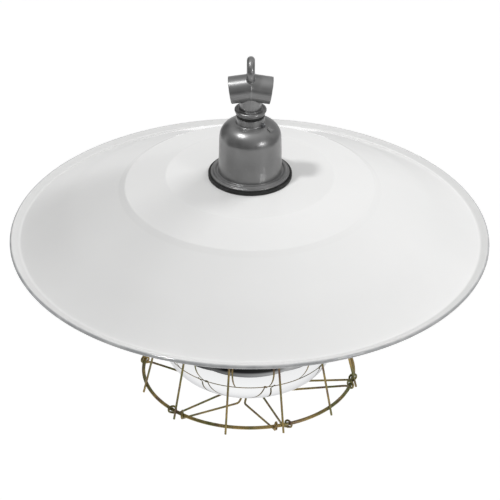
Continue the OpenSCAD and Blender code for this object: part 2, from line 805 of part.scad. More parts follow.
inlet_head();
head_locknut();
neck_seal();
bell_housing();
head_grub_screw();
earth_screw();
flange_gasket();
shade();
lower_gasket();
guard_gallery();
flange_screws();
guard_cleats();
cleat_screws();
lampholder_body();
lampholder_shell();
centre_contact();
holder_strap();
holder_screws();
terminal_live();
terminal_neutral();
terminal_screws();
guard_top_ring();
guard_ring();
guard_wire_01();
guard_wire_02();
guard_wire_03();
guard_wire_04();
guard_wire_05();
guard_wire_06();
guard_wire_07();
guard_wire_08();
guard_wire_09();
guard_wire_10();
guard_wire_11();
guard_wire_12();
guard_petal_1();
guard_petal_2();
guard_petal_3();
guard_petal_4();
guard_petal_5();
guard_petal_6();
bulb_glass();
bulb_mirror();
bulb_cap();
cap_insulator();
cap_contact();
bulb_stem();
filament_supports();
bulb_filament();
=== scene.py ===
"""Looks of the pendant heat lamp fixture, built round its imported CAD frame, in metres."""

import math

import bpy
from mathutils import Matrix, Vector


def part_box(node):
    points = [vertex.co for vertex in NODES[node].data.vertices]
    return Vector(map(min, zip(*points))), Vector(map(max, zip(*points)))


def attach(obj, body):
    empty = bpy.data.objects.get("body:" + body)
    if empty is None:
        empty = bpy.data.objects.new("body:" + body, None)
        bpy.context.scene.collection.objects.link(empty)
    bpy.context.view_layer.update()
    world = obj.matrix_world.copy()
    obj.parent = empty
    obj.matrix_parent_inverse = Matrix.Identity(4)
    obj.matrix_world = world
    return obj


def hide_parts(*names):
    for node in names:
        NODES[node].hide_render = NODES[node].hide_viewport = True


bl_info = {
    "name": "Pendant Heat Lamp",
    "version": (1, 0, 0),
    "blender": (4, 5, 0),
    "location": "3D View > Sidebar > Heat Lamp",
    "description": "Dresses the enamelled pendant heat lamp fixture",
    "category": "Object",
}

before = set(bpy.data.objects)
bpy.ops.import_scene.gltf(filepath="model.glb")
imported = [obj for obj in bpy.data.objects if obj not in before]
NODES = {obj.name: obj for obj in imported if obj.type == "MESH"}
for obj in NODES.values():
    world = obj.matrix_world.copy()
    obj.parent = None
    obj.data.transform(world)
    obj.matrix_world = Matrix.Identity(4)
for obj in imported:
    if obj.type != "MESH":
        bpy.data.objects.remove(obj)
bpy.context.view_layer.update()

MM = 0.001
LOOPS = 6
WIRES = 12
WIRE_FACES = 18
WIRE_RESOLUTION = 3
DOUBLES = 0.002 * MM
LEVEL = 0.001 * MM
BEAD_DROP = 1 * MM

# ---------------------------------------------------------------- places worked out from the frame


def low(node):
    """Lowest corner of a CAD node."""
    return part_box(node)[0]


def high(node):
    """Highest corner of a CAD node."""
    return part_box(node)[1]


RIM_Z = low("shade").z + BEAD_DROP
SEAT_Z = low("flange_gasket").z
FLANGE_Z = low("bell_housing").z
NECK_Z = high("bell_housing").z
BULB_LOW_Z = low("bulb_glass").z
BULB_TOP_Z = high("bulb_glass").z
BULB_R = high("bulb_glass").x
RING_Z = (low("guard_ring").z + high("guard_ring").z) / 2
RING_WIRE_R = (high("guard_ring").z - low("guard_ring").z) / 2
RING_R = high("guard_ring").x - RING_WIRE_R
TOP_RING_Z = (low("guard_top_ring").z + high("guard_top_ring").z) / 2
TOP_RING_R = high("guard_top_ring").x - RING_WIRE_R
SHADE_R = high("shade").x

# ---------------------------------------------------------------- settings


def length(name, default, description):
    """A length in metres, given in millimetres."""
    return bpy.props.FloatProperty(
        name=name, description=description, default=default * MM,
        precision=4, subtype="DISTANCE", unit="LENGTH",
    )


def colour(name, default, description):
    """An opaque colour."""
    return bpy.props.FloatVectorProperty(
        name=name, description=description, default=default,
        size=3, min=0.0, max=1.0, subtype="COLOR",
    )


def angle(name, degrees, description):
    """An angle in radians, given in degrees."""
    return bpy.props.FloatProperty(
        name=name, description=description, default=math.radians(degrees),
        subtype="ANGLE", unit="ROTATION",
    )


def amount(name, default, description, unit="NONE"):
    """A plain number."""
    return bpy.props.FloatProperty(
        name=name, description=description, default=default, min=0.0, unit=unit
    )


class ShadeSettings(bpy.types.PropertyGroup):
    """Sizes and enamel of the shade."""

    sheet: length("Sheet", 1.3, "Thickness of the enamelled sheet")
    bead: length("Rim bead", 2.2, "Radius of the rolled rim")
    lip: length("Rim lip", 7.0, "Width of the lip that turns up to the rolled rim")
    lip_rise: length("Lip rise", 2.6, "Rise of that lip")
    belly: length("Belly", 1.8, "How far the shade's slope swells above a straight line")
    crown: length("Crown", 90.0, "Radius of the faint step round the crown")
    crown_drop: length("Crown drop", 3.0, "Drop of that step")
    press: length("Pressed step", 127.0, "Radius of the lower pressed step")
    press_drop: length("Step drop", 16.6, "Depth of that step's foot below the crown")
    enamel: colour("Enamel", (0.79, 0.79, 0.785), "Colour of the enamel")
    edge: colour("Thin enamel", (0.30, 0.31, 0.32), "Colour where the enamel thins on the rim")


class CastingSettings(bpy.types.PropertyGroup):
    """Sizes and paint of the bell and the inlet head."""

    foot: length("Foot radius", 32.9, "Radius of the bell at its foot")
    side: length("Side radius", 31.9, "Radius of the bell under its shoulder")
    neck: length("Neck radius", 14.8, "Radius of the bell's neck")
    neck_length: length("Neck length", 7.6, "Length of the neck above the shoulder")
    wall: length("Wall", 2.7, "Thickness of the casting")
    flange: length("Flange", 2.1, "Thickness of the flange")
    pad: length("Shoulder pad", 4.4, "Width of the raised frame on the shoulder")
    dish: length("Collar dish", 14.4, "Radius of the shallow floor inside the collar's lip")
    grain: length("Cast grain", 0.45, "Cell of the casting's softened surface")
    paint: colour("Paint", (0.275, 0.275, 0.275), "Colour of the satin paint")
    worn: colour("Worn paint", (0.36, 0.36, 0.36), "Colour where the paint is rubbed")


class GuardSettings(bpy.types.PropertyGroup):
    """Wires of the guard."""

    wire: length("Wire", 1.15, "Radius of the upright and petal wires")
    loop: length("Loop", 4.0, "Radius of a petal's loop")
    loop_offset: length("Loop offset", 7.0, "Distance of a loop from its upright wire")
    dip: length("Petal dip", 22.0, "Depth of the petals below the ring")
    long_bend: length("Long petal bend", 35.0, "Distance of the long petals' bends from the axis")
    short_bend: length(
        "Short petal bend", 21.0, "Distance of the short petals' bends from the axis"
    )
    tip: length("Petal tip", 9.0, "Distance of the petals' tips from the axis")
    gold: colour("Gold", (0.38, 0.275, 0.10), "Yellow passivated zinc")
    olive: colour("Olive", (0.17, 0.17, 0.06), "Greener patches of the passivation")
    brown: colour("Brown", (0.20, 0.13, 0.085), "Browner patches of the passivation")


class LampSettings(bpy.types.PropertyGroup):
    """Sizes and glass of the lamp."""

    bowl_height: length("Bowl height", 58.0, "Height of the widest circle above the lowest point")
    side: length("Side radius", 40.0, "Radius of the bulb's side")
    neck: length("Neck radius", 18.6, "Radius of the bulb's neck")
    glass: length("Glass", 1.2, "Thickness of the glass")
    mirror_height: length("Mirror height", 80.0, "Height of the silvered bowl")
    silver: colour("Silvering", (0.84, 0.845, 0.85), "Colour of the mirror coat")


class StageSettings(bpy.types.PropertyGroup):
    """Floor, lights and camera."""

    floor: colour("Floor", (0.95, 0.95, 0.95), "Colour of the floor")
    floor_drop: length("Floor drop", 6500.0, "Depth of the floor below the origin")
    floor_reach: length("Floor reach", 16000.0, "Distance from the middle of the floor to its edge")
    floor_glow: amount("Floor glow", 0.62, "Light that the floor adds to what falls on it")
    glow_left: amount("Left glow", 0.01, "Strength of the room's glow at the left")
    glow_right: amount("Right glow", 0.20, "Strength of the room's glow at the front right")
    glow_back: amount("Back glow", 0.10, "Strength of the room's glow at the back right")
    glow_up: amount("Ceiling glow", 0.19, "Light that the ceiling adds")
    glow_top: amount("Overhead glow", 0.60, "Light that the middle of the ceiling adds")
    glow_mid: amount("Middle glow", 0.30, "Strength of the glow half way up at the back left")
    glow_low_left: amount(
        "Low left glow", 1.05, "Strength of the glow near the horizon at the back left"
    )
    glow_low_right: amount(
        "Low right glow", 0.20, "Strength of the glow near the horizon at the back right"
    )
    key: amount("Key light", 40.0, "Power of the small light overhead on the left", "POWER")
    softbox: amount("Right softbox", 11.8, "Power of the softbox at the front right", "POWER")
    back: amount("Back softbox", 43.0, "Power of the softbox at the back right", "POWER")
    camera_back: length("Camera distance", 2878.0, "Distance of the camera in front of the origin")
    camera_up: length("Camera height", 1544.5, "Height of the camera above the origin")
    pitch: angle("Pitch", 31.42, "How far the camera looks down")
    pan: angle("Pan", 0.011, "How far the camera turns to the right")
    roll: angle("Roll", 0.448, "How far the camera rolls")
    lens: amount("Lens", 232.02, "Focal length in millimetres", "CAMERA")


SETTINGS = {
    "shade": ShadeSettings,
    "casting": CastingSettings,
    "guard": GuardSettings,
    "lamp": LampSettings,
    "stage": StageSettings,
}


def settings(name):
    """The scene's settings of one group."""
    return getattr(bpy.context.scene, "heat_lamp_" + name)


# ---------------------------------------------------------------- materials


class Flow:
    """A value on its way through a material's nodes."""

    def __init__(self, finish, socket):
        self.finish = finish
        self.socket = socket

    def _math(self, operation, *values):
        inputs = dict(enumerate(values))
        return self.finish.node("ShaderNodeMath", {"operation": operation}, inputs)

    def __add__(self, other):
        return self._math("ADD", self, other)

    __radd__ = __add__

    def __sub__(self, other):
        return self._math("SUBTRACT", self, other)

    def __rsub__(self, other):
        return self._math("SUBTRACT", other, self)

    def __mul__(self, other):
        return self._math("MULTIPLY", self, other)

    __rmul__ = __mul__

    def __lt__(self, other):
        return self._math("LESS_THAN", self, other)

    def __gt__(self, other):
        return self._math("GREATER_THAN", self, other)


class Recipe:
    """A node tree that is built up from expressions."""

    def __init__(self, tree):
        self.tree = tree

    def node(self, kind, options=None, inputs=None, output=0):
        """Adds a node, sets its options and then its sockets, and returns one of its outputs."""
        made = self.tree.nodes.new(kind)
        for key, value in (options or {}).items():
            setattr(made, key, value)
        for key, value in (inputs or {}).items():
            self.feed(made.inputs[key], value)
        return Flow(self, made.outputs[output])

    def feed(self, socket, value):
        """Links a flow to a socket, or sets its constant."""
        if isinstance(value, Flow):
            self.tree.links.new(value.socket, socket)
        elif hasattr(value, "__len__") and len(value) == 3 and len(socket.default_value) == 4:
            socket.default_value = tuple(value) + (1.0,)
        else:
            socket.default_value = value

    def place(self):
        """Where a point is on the object, in metres."""
        return self.node("ShaderNodeTexCoord", output="Object")

    def span(self, value, start, end, to_start=0.0, to_end=1.0, ease="LINEAR"):
        """A value remapped from one range to another, and held inside it."""
        inputs = {"Value": value, 1: start, 2: end, 3: to_start, 4: to_end}
        return self.node("ShaderNodeMapRange", {"interpolation_type": ease, "clamp": True}, inputs)

    def blend(self, mask, first, second):
        """A colour that goes from the first to the second as the mask rises."""
        return self.node("ShaderNodeMix", {"data_type": "RGBA"}, {0: mask, 6: first, 7: second}, 2)


class Finish(Recipe):
    """A material: a shader whose sockets are set, or fed by what varies over the surface."""

    def __init__(self, name):
        self.material = bpy.data.materials.new(name)
        self.material.use_nodes = True
        super().__init__(self.material.node_tree)
        self.shader = self.tree.nodes["Principled BSDF"]

    def paint(self, **values):
        """Sets or feeds the shader's own sockets."""
        for name, value in values.items():
            socket = name.replace("_", " ").title().replace("Ior", "IOR")
            self.feed(self.shader.inputs[socket], value)
        return self

    def part(self, axis):
        """One coordinate of the place, or its distance from the lamp's axis."""
        if axis == "radius":
            flat = self.node(
                "ShaderNodeVectorMath", {"operation": "MULTIPLY"},
                {0: self.place(), 1: (1.0, 1.0, 0.0)},
            )
            return self.node("ShaderNodeVectorMath", {"operation": "LENGTH"}, {0: flat}, "Value")
        return self.node("ShaderNodeSeparateXYZ", None, {0: self.place()}, axis)

    def noise(self, scale, detail=3.0, roughness=0.5):
        """Cloudy noise, with its scale in cycles per metre."""
        inputs = {"Vector": self.place(), "Scale": scale, "Detail": detail, "Roughness": roughness}
        return self.node("ShaderNodeTexNoise", None, inputs)

    def specks(self, scale, size, share):
        """Round specks, one to a cell, in a share of the cells."""
        inputs = {"Vector": self.place(), "Scale": scale}
        reach = self.node("ShaderNodeTexVoronoi", None, inputs, "Distance")
        pick = self.node("ShaderNodeTexVoronoi", None, inputs, "Color")
        chance = self.node("ShaderNodeSeparateColor", None, {0: pick}, 0)
        return (reach < size) * (chance < share)

    def bump(self, height, depth, strength=1.0):
        """A normal that follows a height."""
        inputs = {"Height": height, "Distance": depth, "Strength": strength}
        return self.node("ShaderNodeBump", None, inputs)


def enamel_finish():
    """Glossy vitreous enamel, thin and grey on the rolled rim, greyed by painted shade on the lip
    inside it, with a few dark specks.
    """
    look = settings("shade")
    made = Finish("vitreous_enamel")
    radius = made.part("radius")
    roll = made.span(radius, SHADE_R - 2.6 * MM, SHADE_R - 0.8 * MM)
    edge = roll * made.span(made.noise(60.0), 0.3, 0.6, 0.5, 1.0)
    cloud = made.span(made.noise(9.0, 4.0), 0.3, 0.7)
    white = made.blend(cloud, look.enamel, tuple(0.97 * part for part in look.enamel))
    speck = made.specks(30.0, 0.020, 0.07)
    # Painted shade: a band on the inside of the rim's lip is greyed to stand for shade falling
    # there.
    lip = made.span(radius, SHADE_R - 10.5 * MM, SHADE_R - 8.5 * MM)
    lip_shaded_white = made.blend(lip * 0.5, white, tuple(0.72 * part for part in look.enamel))
    tone = made.blend(speck, made.blend(edge * 0.8, lip_shaded_white, look.edge), (0.12, 0.11, 0.10))
    ripple = made.noise(24.0, 2.0) * 0.7 + made.noise(240.0, 2.0) * 0.03
    return made.paint(
        ior=1.55,
        base_color=tone,
        roughness=made.span(made.noise(40.0), 0.3, 0.7, 0.04, 0.07) + speck * 0.3,
        normal=made.bump(ripple, 0.15 * MM, 0.5),
    )


def paint_finish():
    """Satin grey paint with a faint peel, rubbed lighter here and there."""
    look = settings("casting")
    made = Finish("satin_grey_paint")
    rub = made.span(made.noise(190.0, 6.0, 0.65), 0.60, 0.74)
    tone = made.blend(rub * 0.35, look.paint, look.worn)
    tone = made.blend(made.span(made.noise(22.0), 0.35, 0.7) * 0.3, tone, (0.20, 0.20, 0.202))
    peel = made.noise(700.0, 2.0) * 0.6 + made.noise(110.0, 3.0)
    return made.paint(
        base_color=tone,
        coat_roughness=0.15,
        metallic=made.span(made.noise(130.0, 3.0), 0.35, 0.65, 0.55, 0.72),
        roughness=made.span(made.noise(150.0, 4.0), 0.3, 0.7, 0.28, 0.36),
        coat_weight=0.06,
        normal=made.bump(peel, 0.10 * MM, 0.5),
    )


def passivated_finish():
    """Yellow passivated zinc on steel wire: gold, olive and brown patches with dull spots."""
    look = settings("guard")
    made = Finish("yellow_passivated_zinc")
    tone = made.blend(made.span(made.noise(42.0, 4.0), 0.42, 0.60), look.gold, look.olive)
    tone = made.blend(made.span(made.noise(75.0, 5.0, 0.6), 0.5, 0.66), tone, look.brown)
    tone = made.blend(made.specks(420.0, 0.25, 0.25), tone, (0.10, 0.075, 0.04))
    return made.paint(
        base_color=tone,
        metallic=made.span(made.noise(90.0), 0.35, 0.65, 0.45, 0.8),
        roughness=made.span(made.noise(160.0, 4.0), 0.3, 0.7, 0.30, 0.5),
        normal=made.bump(made.noise(900.0, 3.0), 0.08 * MM, 0.5),
    )


def metal_finish(name, clean, tarnished, dull):
    """Bare or plated metal with a slight tarnish."""
    made = Finish(name)
    tarnish = made.noise(120.0, 5.0, 0.6)
    return made.paint(
        base_color=made.blend(made.span(tarnish, 0.35, 0.7), clean, tarnished),
        metallic=1.0,
        roughness=made.span(made.noise(200.0, 4.0), 0.3, 0.7, dull, dull + 0.15),
        normal=made.bump(made.noise(600.0, 3.0), 0.05 * MM, 0.4),
    )


def rubber_finish():
    """Matt black rubber with a dusty bloom."""
    made = Finish("black_rubber")
    bloom = made.span(made.noise(160.0, 6.0, 0.65), 0.5, 0.75)
    return made.paint(
        base_color=made.blend(bloom, (0.010, 0.010, 0.010), (0.035, 0.034, 0.033)),
        roughness=made.span(made.noise(300.0), 0.3, 0.7, 0.5, 0.7),
        normal=made.bump(made.noise(1400.0, 3.0), 0.08 * MM, 0.5),
    )


def porcelain_finish():
    """Glazed porcelain, a little grey in random patches."""
    made = Finish("glazed_porcelain")
    grey = made.span(made.noise(70.0, 5.0), 0.4, 0.7)
    return made.paint(
        base_color=made.blend(grey, (0.78, 0.76, 0.70), (0.68, 0.65, 0.59)),
        roughness=made.span(made.noise(200.0), 0.3, 0.7, 0.12, 0.22),
        coat_roughness=0.04,
        coat_weight=0.5,
        normal=made.bump(made.noise(180.0, 3.0), 0.1 * MM, 0.4),
    )


def mirror_finish():
    """The silvered bowl: a clear mirror with the faintest ripple of blown glass."""
    look = settings("lamp")
    made = Finish("mirror_coat")
    haze = made.span(made.noise(30.0, 4.0), 0.4, 0.8)
    return made.paint(
        base_color=made.blend(haze, look.silver, tuple(0.96 * part for part in look.silver)),
        specular_tint=(0.70, 0.70, 0.71),
        metallic=1.0,
        roughness=made.span(made.noise(55.0, 4.0), 0.3, 0.7, 0.015, 0.04),
        normal=made.bump(made.noise(14.0, 2.0), 0.5 * MM, 0.25),
    )


def bulb_finish():
    """Clear blown glass above, silvered below the mirror's edge."""
    look = settings("lamp")
    made = Finish("bulb_glass")
    edge_z = BULB_LOW_Z + look.mirror_height
    waver = (made.noise(30.0) - 0.5) * (2.0 * MM)
    silvered = made.span(made.part("Z") + waver, edge_z + 0.5 * MM, edge_z - 0.5 * MM)
    return made.paint(
        ior=1.46,
        transmission_weight=1.0,
        specular_tint=(0.70, 0.70, 0.71),
        base_color=made.blend(silvered, (0.97, 0.98, 0.98), look.silver),
        metallic=silvered,
        roughness=made.span(made.noise(55.0, 4.0), 0.3, 0.7, 0.01, 0.03),
        normal=made.bump(made.noise(14.0, 2.0), 0.5 * MM, 0.25),
    )


def black_glass_finish():
    """Glossy black glass with a few dull marks."""
    made = Finish("black_glass")
    marks = made.span(made.noise(260.0, 5.0, 0.6), 0.58, 0.7)
    return made.paint(
        base_color=made.blend(marks, (0.008, 0.008, 0.010), (0.03, 0.03, 0.032)),
        roughness=0.06 + 0.3 * marks,
        normal=made.bump(made.noise(300.0, 2.0), 0.05 * MM, 0.4),
    )


def clear_glass_finish():
    """Clear lamp glass with a slight draw line."""
    made = Finish("clear_glass")
    return made.paint(
        ior=1.46,
        transmission_weight=1.0,
        base_color=made.blend(made.noise(40.0), (0.95, 0.97, 0.97), (0.90, 0.93, 0.93)),
        roughness=made.span(made.noise(80.0), 0.3, 0.7, 0.01, 0.05),
    )


# ---------------------------------------------------------------- modelling helpers


def select_only(piece):
    """Selects one object and makes it active."""
    bpy.ops.object.select_all(action="DESELECT")
    piece.select_set(True)
    bpy.context.view_layer.objects.active = piece


def finished(piece, name, body, look, node, smooth):
    """Names a piece, settles its place into its mesh, gives it its finish and lets it ride."""
    select_only(piece)
    bpy.ops.object.transform_apply(location=True, rotation=True, scale=True)
    bpy.ops.object.shade_smooth_by_angle(angle=math.radians(smooth))
    piece.name = name
    piece.data.name = name
    piece.data.materials.clear()
    piece.data.materials.append(look.material)
    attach(piece, body)
    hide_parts(node)


def apply_modifier(piece, kind, **values):
    """Adds a modifier and applies it at once."""
    select_only(piece)
    modifier = piece.modifiers.new(kind.title(), kind)
    for key, value in values.items():
        setattr(modifier, key, value)
    bpy.ops.object.modifier_apply(modifier=modifier.name)


def recalculated(piece):
    """Merges doubles and turns every face outwards."""
    select_only(piece)
    bpy.ops.object.mode_set(mode="EDIT")
    bpy.ops.mesh.select_all(action="SELECT")
    bpy.ops.mesh.remove_doubles(threshold=DOUBLES)
    bpy.ops.mesh.normals_make_consistent(inside=False)
    bpy.ops.object.mode_set(mode="OBJECT")
    return piece


def rounded(corners, steps=5):
    """An outline of (radius, height, fillet) corners, curved at each corner that has a fillet."""
    line = []
    for i, (radius, height, fillet) in enumerate(corners):
        here = Vector((radius, height))
        if not fillet or i in (0, len(corners) - 1):
            line.append(here)
            continue
        back = Vector(corners[i - 1][:2]) - here
        ahead = Vector(corners[i + 1][:2]) - here
        opening = back.angle(ahead)
        reach = min(fillet / math.tan(opening / 2), 0.49 * back.length, 0.49 * ahead.length)
        start = here + back.normalized() * reach
        end = here + ahead.normalized() * reach
        for step in range(steps + 1):
            t = step / steps
            line.append(start * (1 - t) ** 2 + here * 2 * t * (1 - t) + end * t**2)
    return line


def arc(centre, radius, start, end, steps):
    """Points along an arc, with its angles in degrees."""
    return [
        Vector(centre) + radius * Vector((math.cos(math.radians(a)), math.sin(math.radians(a))))
        for a in (start + (end - start) * i / steps for i in range(steps + 1))
    ]


def turned(outline, sides):
    """A circle drawn out about the lamp's axis, along an outline of (radius, height)."""
    bpy.ops.object.select_all(action="DESELECT")
    first = outline[0]
    bpy.ops.mesh.primitive_circle_add(
        vertices=sides, radius=first[0], location=(0.0, 0.0, first[1])
    )
    piece = bpy.context.object
    bpy.ops.object.mode_set(mode="EDIT")
    bpy.ops.mesh.select_all(action="SELECT")
    for here, there in zip(outline, outline[1:]):
        rise = (0.0, 0.0, there[1] - here[1])
        bpy.ops.mesh.extrude_region_move(TRANSFORM_OT_translate={"value": rise})
        grow = there[0] / here[0]
        if abs(grow - 1) > 1e-6:
            bpy.ops.transform.resize(value=(grow, grow, 1.0), center_override=(0.0, 0.0, 0.0))
    bpy.ops.object.mode_set(mode="OBJECT")
    bpy.ops.object.transform_apply(location=True, rotation=True, scale=True)
    return recalculated(piece)


def bar(start, end, radius, sides, chamfer):
    """A round bar from one point to another, with chamfered ends."""
    bpy.ops.object.select_all(action="DESELECT")
    run = Vector(end) - Vector(start)
    bpy.ops.mesh.primitive_cylinder_add(
        vertices=sides,
        radius=radius,
        depth=run.length,
        location=(Vector(start) + Vector(end)) / 2,
        rotation=run.to_track_quat("Z", "Y").to_euler(),
    )
    piece = bpy.context.object
    apply_modifier(piece, "BEVEL", width=chamfer, segments=2, limit_method="ANGLE")
    return piece


def eased(path, reach, steps=6):
    """A path with each corner rounded over a reach of wire."""
    line = [path[0]]
    for back, here, ahead in zip(path, path[1:], path[2:]):
        before = (back - here).normalized() * min(reach, 0.45 * (back - here).length)
        after = (ahead - here).normalized() * min(reach, 0.45 * (ahead - here).length)
        for step in range(steps + 1):
            t = step / steps
            line.append(
                (here + before) * (1 - t) ** 2 + here * 2 * t * (1 - t) + (here + after) * t**2
            )
    return line + [path[-1]]


def wire(path, radius):
    """A round wire along a path of points, as a closed mesh."""
    curve = bpy.data.curves.new("wire", "CURVE")
    curve.dimensions = "3D"
    curve.bevel_depth = radius
    curve.bevel_resolution = WIRE_RESOLUTION
    curve.use_fill_caps = True
    spline = curve.splines.new("POLY")
    spline.points.add(len(path) - 1)
    for point, place in zip(spline.points, path):
        point.co = (*place, 1.0)
    piece = bpy.data.objects.new("wire", curve)
    bpy.context.scene.collection.objects.link(piece)
    select_only(piece)
    bpy.ops.object.convert(target="MESH")
    return recalculated(bpy.context.object)


def joined(pieces):
    """Joins pieces into the first."""
    bpy.ops.object.select_all(action="DESELECT")
    for piece in pieces:
        piece.select_set(True)
    bpy.context.view_layer.objects.active = pieces[0]
    bpy.ops.object.join()
    return bpy.context.object


def dress(look, *nodes):
    """Gives CAD nodes their finish."""
    for node in nodes:
        slots = NODES[node].data.materials
        slots.clear()
        slots.append(look.material)


def spot(azimuth, radius, z):
    """A point at an azimuth in degrees, a radius and a height."""
    a = math.radians(azimuth)
    return Vector((radius * math.cos(a), radius * math.sin(a), z))


# ---------------------------------------------------------------- shade and gaskets

HOLE_INSET = 12.3 * MM
FOOT_OUT = 9 * MM
FOOT_DEEPER = 0.2 * MM
STEP_RUN = 6.5 * MM
STEP_RISE = 3.9 * MM


class HEATLAMP_OT_shade(bpy.types.Operator):
    """Turns the enamelled shade with its rolled rim and pressed rings"""

    bl_idname = "heatlamp.shade"
    bl_label = "Shade"
    bl_options = {"REGISTER", "UNDO"}

    def execute(self, context):
        size = settings("shade")
        hole = high("flange_gasket").x - HOLE_INSET
        bead_at = (SHADE_R - size.bead, RIM_Z + size.bead - BEAD_DROP)
        tilt = math.atan2(size.lip_rise, size.lip)
        valley = (
            bead_at[0] - size.bead * math.sin(tilt) - size.lip,
            bead_at[1] + size.bead * math.cos(tilt) - size.lip_rise,
        )
        foot = (size.press + FOOT_OUT, SEAT_Z - size.press_drop - FOOT_DEEPER)
        top = rounded([
            (hole, SEAT_Z, 0),
            (size.crown - 3 * MM, SEAT_Z - 0.4 * MM, 9 * MM),
            (size.crown + 6 * MM, SEAT_Z - size.crown_drop, 12 * MM),
            (foot[0] - STEP_RUN, foot[1] + STEP_RISE, 8 * MM),
            (*foot, 9 * MM),
            (
                (foot[0] + valley[0]) / 2,
                (foot[1] + valley[1]) / 2 + size.belly,
                400 * MM,
            ),
            (*valley, 6 * MM),
            (valley[0] + size.lip, valley[1] + size.lip_rise, 0),
        ])
        rim = arc(bead_at, size.bead, 85 + math.degrees(tilt), -170, 20)
        under = [point - Vector((0.0, size.sheet)) for point in reversed(top)]
        under[0] = Vector((rim[-1].x - 1.0 * MM, under[0].y + 0.3 * MM))
        piece = turned(top + rim + under + [top[0]], 256)
        finished(piece, "shade_enamel", "housing", enamel_finish(), "shade", 50.0)
        dress(rubber_finish(), "flange_gasket", "lower_gasket", "neck_seal")
        return {"FINISHED"}


# ---------------------------------------------------------------- castings

RIDGE_INSET = 4.1 * MM
PAD_TILT = math.radians(60)
PAD_AZIMUTH = math.radians(-33)
PAD_PROUD = 0.2 * MM
PAD_THICK = 2.0 * MM
PAD_ASPECT = 1.2
PAD_BORDER = 0.22
PAD_SINK = 0.4 * MM
DISH_FILL = 3.2 * MM
DISH_FILL_RISE = 2.9 * MM


class HEATLAMP_OT_bell(bpy.types.Operator):
    """Turns the bell, with its flange, shoulder and neck, and adds the shoulder's raised frame"""

    bl_idname = "heatlamp.bell"
    bl_label = "Bell housing"
    bl_options = {"REGISTER", "UNDO"}

    def execute(self, context):
        size = settings("casting")
        flange_r = high("bell_housing").x
        shoulder_r = size.side - size.neck
        shoulder_z = NECK_Z - size.neck_length - shoulder_r
        top = FLANGE_Z + size.flange
        inner_r = size.foot - size.wall
        ridge = flange_r - RIDGE_INSET
        foot = rounded([
            (inner_r, FLANGE_Z, 0),
            (flange_r, FLANGE_Z, 0.5 * MM),
            (flange_r, top - 0.2 * MM, 0.7 * MM),
            (ridge + 2.0 * MM, top, 0.6 * MM),
            (ridge + 0.9 * MM, top + 1.6 * MM, 0.6 * MM),
            (ridge - 0.9 * MM, top + 1.6 * MM, 0.6 * MM),
            (ridge - 1.7 * MM, top + 0.7 * MM, 0.6 * MM),
            (size.foot + 0.1 * MM, top + 0.7 * MM, 0.5 * MM),
            (size.foot - 0.2 * MM, top + 4 * MM, 0),
        ], 4)
        shoulder = arc((size.neck, shoulder_z), shoulder_r, 0, 82, 22)
        neck = rounded([
            (shoulder[-1].x, shoulder[-1].y, 0),
            (size.neck, NECK_Z - size.neck_length, 1.2 * MM),
            (size.neck, NECK_Z, 0.5 * MM),
            (size.neck - 2.4 * MM, NECK_Z, 0.3 * MM),
            (size.neck - 2.4 * MM, NECK_Z - size.neck_length - 4.5 * MM, 0.3 * MM),
            (size.neck + 6 * MM, NECK_Z - size.neck_length - 4.7 * MM, 0),
        ], 3)
        inside = arc((size.neck, shoulder_z), shoulder_r - size.wall, 55, 0, 10)
        outline = foot + shoulder + neck + inside + [Vector((inner_r, FLANGE_Z))]
        pad = self.pad(size)
        along, across = math.cos(PAD_AZIMUTH), math.sin(PAD_AZIMUTH)
        out = Vector((math.cos(PAD_TILT) * along, math.cos(PAD_TILT) * across, math.sin(PAD_TILT)))
        place = Vector((size.neck * along, size.neck * across, shoulder_z))
        move = Matrix.Translation(place + out * (shoulder_r + PAD_PROUD))
        pad.matrix_world = move @ out.to_track_quat("Z", "Y").to_matrix().to_4x4()
        piece = joined([turned(outline, 160), pad])
        finished(
            piece, "bell_casting", "housing", paint_finish(), "bell_housing", 40.0
        )
        return {"FINISHED"}

    def pad(self, size):
        """The small raised frame on the shoulder, beside the grub screw."""
        bpy.ops.object.select_all(action="DESELECT")
        bpy.ops.mesh.primitive_cube_add(size=1.0)
        piece = bpy.context.object
        piece.scale = (size.pad, size.pad * PAD_ASPECT, PAD_THICK)
        bpy.ops.object.transform_apply(location=True, rotation=True, scale=True)
        bpy.ops.object.mode_set(mode="EDIT")
        bpy.ops.mesh.select_mode(type="FACE")
        bpy.ops.mesh.select_all(action="DESELECT")
        bpy.ops.object.mode_set(mode="OBJECT")
        for face in piece.data.polygons:
            face.select = face.normal.z > 0.9
        bpy.ops.object.mode_set(mode="EDIT")
        bpy.ops.mesh.inset(thickness=PAD_BORDER * size.pad)
        bpy.ops.transform.translate(value=(0.0, 0.0, -PAD_SINK))
        bpy.ops.mesh.select_mode(type="VERT")
        bpy.ops.object.mode_set(mode="OBJECT")
        apply_modifier(piece, "BEVEL", width=0.25 * MM, segments=2, limit_method="ANGLE")
        return piece


class HEATLAMP_OT_head(bpy.types.Operator):
    """Softens the cast inlet head with its eye, collar and seam"""

    bl_idname = "heatlamp.head"
    bl_label = "Inlet head"
    bl_options = {"REGISTER", "UNDO"}

    def execute(self, context):
        size = settings("casting")
        piece = NODES["inlet_head"].copy()
        piece.data = NODES["inlet_head"].data.copy()
        piece.parent = None
        bpy.context.scene.collection.objects.link(piece)
        recalculated(piece)
        bpy.ops.object.select_all(action="DESELECT")
        bpy.ops.mesh.primitive_cylinder_add(
            vertices=96, radius=size.dish, depth=DISH_FILL,
            location=(0.0, 0.0, high("neck_seal").z + DISH_FILL_RISE),
        )
        piece = joined([piece, bpy.context.object])
        apply_modifier(piece, "REMESH", mode="VOXEL", voxel_size=size.grain)
        apply_modifier(piece, "SMOOTH", factor=0.5, iterations=6)
        finished(
            piece, "inlet_head_casting", "head", paint_finish(), "inlet_head", 180.0
        )
        dress(
            metal_finish("bright_zinc", (0.60, 0.61, 0.63), (0.45, 0.46, 0.48), 0.25),
            "head_locknut", "head_grub_screw", "guard_gallery", "flange_screws", "guard_cleats",
            "cleat_screws", "holder_strap", "holder_screws", "terminal_screws",
        )
        return {"FINISHED"}


